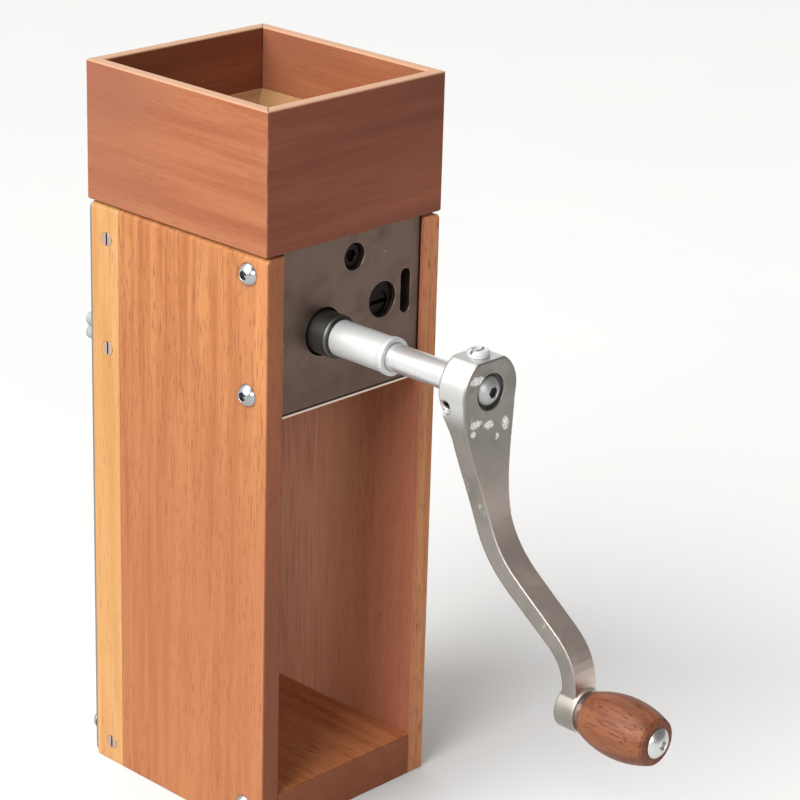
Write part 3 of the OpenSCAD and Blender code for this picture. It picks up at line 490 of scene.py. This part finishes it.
def soften(names, grid, rounds):
    """Gives CAD pieces the soft edges of a moulding or a forging, on a grid of a pitch in metres."""
    for name in names:
        piece = nodes[name]
        piece.modifiers.new("joined", "NODES").node_group = joined_faces
        cast = piece.modifiers.new("cast", "REMESH")
        cast.mode = "VOXEL"
        cast.voxel_size = grid
        cast.use_smooth_shade = True
        eased = piece.modifiers.new("eased", "SMOOTH")
        eased.iterations = rounds


def moulded_plastic(name, colour, worn, rub_tone):
    """Moulded plastic with a fine spark-eroded grain."""
    made, tree, shader, place = new_material(name)
    grain = noise(tree, place, 2600.0, 2.0)
    haze = span(tree, noise(tree, place, 90.0, 3.0), 0.35, 0.7)
    rub = placed(tree, edge_rub, {"Vector": place, "Radius": 0.0008})
    base = mingle(tree, haze, colour, worn)
    rubbed = mingle(tree, times(tree, rub["Mask"], 0.4), base, rub_tone)
    tree.links.new(rubbed, shader.inputs["Base Color"])
    tree.links.new(span(tree, grain, 0.3, 0.7, 0.42, 0.56), shader.inputs["Roughness"])
    bump(tree, shader, grain, 0.00003)
    return made


knob_plastic = moulded_plastic(
    "knob_plastic", shown(196, 199, 198), shown(180, 183, 182), shown(230, 232, 231))
star_knobs = ["cover_knob_left", "cover_knob_right"]
finish(star_knobs, knob_plastic)
soften(star_knobs, grid=0.0004, rounds=8)

# Hopper: four mitred walls of red-brown hardwood, grain running round the box.
# A floor with a throat and four pale funnel wedges inside lead down to the rollers.
hopper_side_wood = oiled_wood(
    "hopper_side_wood", "y", (0.15, 0.66, 0.2), shown(236, 176, 150), toning=("Y", -0.02, 0.05, 0.6),
    pale=shown(206, 131, 87), deep=shown(180, 103, 66), blush=shown(180, 112, 83),
    pore_colour=shown(142, 78, 55), streaks=130.0, pores=0.26)
hopper_front_wood = oiled_wood(
    "hopper_front_wood", "x", (0.72, 0.31, 0.5), shown(226, 160, 134),
    pale=shown(188, 108, 76), deep=shown(132, 68, 45), blush=shown(158, 86, 58),
    pore_colour=shown(108, 56, 39), streaks=48.0, pores=0.14)
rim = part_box("hopper_left_wall")[1][2]
# The top of the rim is painted paler: a painted highlight where the top faces catch the overhead light.
for rim_wood in (hopper_side_wood, hopper_front_wood):
    overlay(rim_wood, shown(252, 200, 160), skin(rim_wood, "Z", rim, -0.0009, -0.0003, 0.75))
side_walls = ["hopper_left_wall", "hopper_right_wall"]
end_walls = ["hopper_front_wall", "hopper_back_wall"]
finish(side_walls, hopper_side_wood)
finish(end_walls, hopper_front_wood)
ease(side_walls + end_walls, 0.0006)
funnel_tones = dict(pale=shown(218, 168, 116), deep=shown(190, 138, 90), blush=shown(204, 150, 104),
                    pore_colour=shown(144, 98, 62), streaks=200.0, pores=0.4)
funnel_rub = shown(236, 196, 150)
funnel_side_wood = oiled_wood("funnel_side_wood", "y", (0.5, 0.1, 0.9), funnel_rub, **funnel_tones)
funnel_end_wood = oiled_wood("funnel_end_wood", "x", (0.2, 0.8, 0.4), funnel_rub, **funnel_tones)
side_wedges = ["funnel_left", "funnel_right", "hopper_floor"]
end_wedges = ["funnel_front", "funnel_back"]
finish(side_wedges, funnel_side_wood)
finish(end_wedges, funnel_end_wood)
finish(["hopper_screws"], plain_screws)
ease(side_wedges + end_wedges, 0.0003, steps=2)
ease(["hopper_screws"], 0.0002, steps=2)

# Drive line: a blued collar in the plate, a silver coupling sleeve with a low rim, and a bright rod.
# Dark grub screws under the sleeve join the roller's stub to the rod.
collar_steel = worked_metal(
    "collar_steel", tone(112, 113, 110), tone(100, 101, 98), tone(150, 152, 150),
    rough=(0.34, 0.46), lines=(1100.0, 1.0), scratch=0.1, rub=0.25, turned=True)
collar_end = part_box("drive_collar")[0][1]
# The collar's front end, against the sleeve, is painted dark: painted shade between the parts.
overlay(collar_steel, tone(58, 58, 56), skin(collar_steel, "Y", collar_end, 0.0009, 0.0004, 0.9))
sleeve_metal = worked_metal(
    "sleeve_metal", tone(198, 200, 199), tone(190, 192, 191), tone(206, 206, 204),
    rough=(0.36, 0.46), lines=(1600.0, 1.0), scratch=0.1, turned=True, metallic=0.5)
rod_steel = worked_metal(
    "rod_steel", tone(206, 208, 208), tone(196, 197, 197), tone(222, 222, 220),
    rough=(0.26, 0.34), lines=(1400.0, 1.0), scratch=0.05, turned=True, metallic=0.75)
dark_steel = worked_metal(
    "dark_steel", tone(54, 52, 50), tone(44, 42, 40), tone(112, 108, 104),
    rough=(0.3, 0.42), lines=(900.0, 0.6), scratch=0.2)
finish(["drive_collar"], collar_steel)
finish(["coupling_sleeve"], sleeve_metal)
finish(["sleeve_grub_screws"], dark_steel)
finish(["drive_rod"], rod_steel)
ease(["drive_collar", "coupling_sleeve", "drive_rod"], 0.0004)
ease(["sleeve_grub_screws"], 0.0002, steps=2)

# Crank: a forged steel arm, sandblasted and then handled, with a bored head and an eye at its end.
# A screw on top clamps it to the rod, a grub screw bears on the rod from the flank, and a domed
# screw with a washer holds it on. The head's rim is turned bright, with a painted highlight on its
# upper part, and its face is scuffed. The lower arm is painted lighter, partly handling polish, partly
# painted light.


def spots(tree, place, centres):
    """Mask of rubbed oval spots in the front view: (x, z, half width, half height) of each."""
    x_place = part_of(tree, place, "X")
    z_place = part_of(tree, place, "Z")
    ragged = span(tree, noise(tree, place, 900.0, 3.0), 0.3, 0.7, -0.45, 0.45)
    mask = 0.0
    for x, z, half_width, half_height in centres:
        across = calc(tree, "DIVIDE", calc(tree, "SUBTRACT", x_place, x), half_width)
        down = calc(tree, "DIVIDE", calc(tree, "SUBTRACT", z_place, z), half_height)
        away = calc(tree, "ADD", times(tree, across, across), times(tree, down, down))
        mask = calc(tree, "MAXIMUM", span(tree, calc(tree, "ADD", away, ragged), 1.35, 0.25), mask)
    return times(tree, mask, span(tree, noise(tree, place, 1900.0, 2.0), 0.36, 0.6, 0.35, 1.0))


crank_steel = worked_metal(
    "crank_steel", tone(145, 140, 134), tone(132, 127, 121), tone(240, 238, 235),
    rough=(0.34, 0.48), lines=(600.0, 0.5), scratch=0.3, relief=0.00004)
rod_low, rod_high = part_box("drive_rod")
axis_x = (rod_low[0] + rod_high[0]) / 2
axis_z = (rod_low[2] + rod_high[2]) / 2
ROD_SEAT = 0.0026
head_front = rod_low[1] - ROD_SEAT
SCUFFS = [(-0.0085, -0.012, 0.0035, 0.0017), (-0.001, -0.0138, 0.0028, 0.0018),
          (0.0088, -0.0152, 0.0022, 0.0028), (-0.0103, -0.0158, 0.0016, 0.0013),
          (0.0036, -0.0197, 0.0012, 0.0014), (-0.0085, 0.0066, 0.0042, 0.0018)]
crank_tree = crank_steel.node_tree
crank_facing = surface(crank_steel, "Normal")
crank_aside = calc(crank_tree, "ABSOLUTE", part_of(crank_tree, crank_facing, "X"))
broad_face = span(crank_tree, crank_aside, 0.8, 0.4)
front_face = span(crank_tree, part_of(crank_tree, crank_facing, "Y"), -0.4, -0.7)
turned_rim_and_highlight = skin(crank_steel, "Y", head_front, 0.0006, 0.0016)
scuffs = spots(crank_tree, surface(crank_steel, "Object"),
               [(axis_x + x, axis_z + z, width, height) for x, z, width, height in SCUFFS])
# The head's barrel is turned bright; its lighter upper part, fading out below the axis, is a painted
# highlight.
overlay(crank_steel, tone(199, 199, 197), turned_rim_and_highlight, skin(crank_steel, "Z", axis_z, -0.015, -0.004))
# The broad faces of the lower arm are painted lighter and pinker: partly handling polish, partly painted
# light.
overlay(crank_steel, tone(212, 196, 186), skin(crank_steel, "Z", axis_z, -0.02, -0.06), broad_face)
overlay(crank_steel, tone(250, 249, 246), scuffs, front_face, 0.95)
clamp_steel = worked_metal(
    "clamp_steel", tone(188, 190, 190), tone(176, 177, 177), tone(210, 210, 208),
    rough=(0.36, 0.46), lines=(1300.0, 0.6), scratch=0.2, metallic=0.3, shade_and_grime=0.3)
screw_steel = worked_metal(
    "screw_steel", tone(174, 175, 174), tone(160, 160, 158), tone(216, 216, 214),
    rough=(0.36, 0.46), lines=(1300.0, 0.6), scratch=0.2, metallic=0.7, shade_and_grime=0.95)
finish(["crank_arm"], crank_steel)
finish(["crank_clamp_screw"], clamp_steel)
finish(["crank_end_screw"], screw_steel)
finish(["crank_grub_screw", "crank_washer"], dark_steel)
soften(["crank_arm"], grid=0.00035, rounds=10)
ease(["crank_end_screw", "crank_grub_screw", "crank_washer"], 0.0003, steps=2)
ease(["crank_clamp_screw"], 0.00012, steps=2)

# Crank knob: turned from dark hardwood, running free on a steel spindle.
# The spindle is riveted in the arm's eye and has a domed head in front.
knob_wood = oiled_wood(
    "knob_wood", "y", (0.6, 0.4, 0.1), shown(190, 128, 90),
    pale=shown(168, 104, 70), deep=shown(130, 74, 48), blush=shown(150, 86, 58),
    pore_colour=shown(84, 44, 30))
finish(["crank_knob"], knob_wood)
finish(["knob_spindle"], turned_steel)
ease(["crank_knob"], 0.0008)
ease(["knob_spindle"], 0.0003, steps=2)

# Studio: a pale paper floor, a broad key from the left, a weak overhead and front fill, and the camera.
# The camera stands where the photograph was taken, by a fit to the mill's own corners.
FLOOR_REACH = 12.0
floor_mesh = bpy.data.meshes.new("studio_floor")
floor_mesh.from_pydata(
    [(-FLOOR_REACH, -FLOOR_REACH, 0), (FLOOR_REACH, -FLOOR_REACH, 0), (FLOOR_REACH, FLOOR_REACH, 0),
     (-FLOOR_REACH, FLOOR_REACH, 0)], [], [(0, 1, 2, 3)])
studio_floor = bpy.data.objects.new("studio_floor", floor_mesh)
bpy.context.scene.collection.objects.link(studio_floor)
paper, paper_tree, paper_shader, paper_place = new_material("studio_paper")
paper_mottle = span(paper_tree, noise(paper_tree, paper_place, 5.0, 3.0), 0.3, 0.7)
paper_colour = mingle(paper_tree, paper_mottle, tone(202, 202, 201), tone(201, 201, 201))
paper_tree.links.new(paper_colour, paper_shader.inputs["Base Color"])
paper_shader.inputs["Roughness"].default_value = 0.9
floor_mesh.materials.append(paper)

MILL_MIDDLE = Vector((0.0, -0.04, 0.17))


def lamp(name, kind, direction, power, distance=2.0, **shape):
    """Light that faces the mill's middle from a direction: a broad sun or a square softbox."""
    data = bpy.data.lights.new(name, kind)
    data.energy = power
    for setting, value in shape.items():
        setattr(data, setting, value)
    hung = bpy.data.objects.new(name, data)
    towards = Vector(direction).normalized()
    hung.location = MILL_MIDDLE + distance * towards
    hung.rotation_euler = towards.to_track_quat("Z", "Y").to_euler()
    bpy.context.scene.collection.objects.link(hung)


lamp("key_left", "SUN", (-0.8, 0.05, 0.6), 4.8, angle=math.radians(55))
lamp("overhead", "AREA", (-0.3, 0.2, 1.0), 8.0, distance=1.6, size=1.2)
lamp("front_fill", "AREA", (-0.5, -0.8, 0.35), 13.0, distance=2.0, size=0.8)

world = bpy.data.worlds.new("studio_world")
world.use_nodes = True
sky = world.node_tree
heading = part_of(sky, sky.nodes.new("ShaderNodeTexCoord").outputs["Generated"], "Y")
sky_light = sky.nodes["Background"].inputs
sky.links.new(span(sky, heading, -0.1, 0.5, 0.22, 1.1), sky_light["Strength"])
sky_light["Color"].default_value = (1.0, 0.99, 0.97, 1.0)
bpy.context.scene.world = world
bpy.context.scene.view_settings.view_transform = "Standard"

CAMERA_PLACE = Vector((-0.80017, -0.84953, 0.62722))
CAMERA_AZIMUTH = math.radians(-46.3)
CAMERA_ELEVATION = math.radians(20.91)
CAMERA_ROLL = math.radians(1.66)
FOCAL_PIXELS = 2802.78
FRAME_PIXELS = 800
lens = bpy.data.cameras.new("photo_camera")
lens.sensor_width = 36.0
lens.lens = FOCAL_PIXELS / FRAME_PIXELS * lens.sensor_width
back = Vector((math.sin(CAMERA_AZIMUTH) * math.cos(CAMERA_ELEVATION),
               -math.cos(CAMERA_AZIMUTH) * math.cos(CAMERA_ELEVATION), math.sin(CAMERA_ELEVATION)))
right = Vector((math.cos(CAMERA_AZIMUTH), math.sin(CAMERA_AZIMUTH), 0))
up = back.cross(right)
rolled_right = math.cos(CAMERA_ROLL) * right + math.sin(CAMERA_ROLL) * up
rolled_up = -math.sin(CAMERA_ROLL) * right + math.cos(CAMERA_ROLL) * up
camera_turn = Matrix((rolled_right, rolled_up, back)).transposed().to_4x4()
camera = bpy.data.objects.new("photo_camera", lens)
camera.matrix_world = Matrix.Translation(CAMERA_PLACE) @ camera_turn
bpy.context.scene.collection.objects.link(camera)
bpy.context.scene.camera = camera
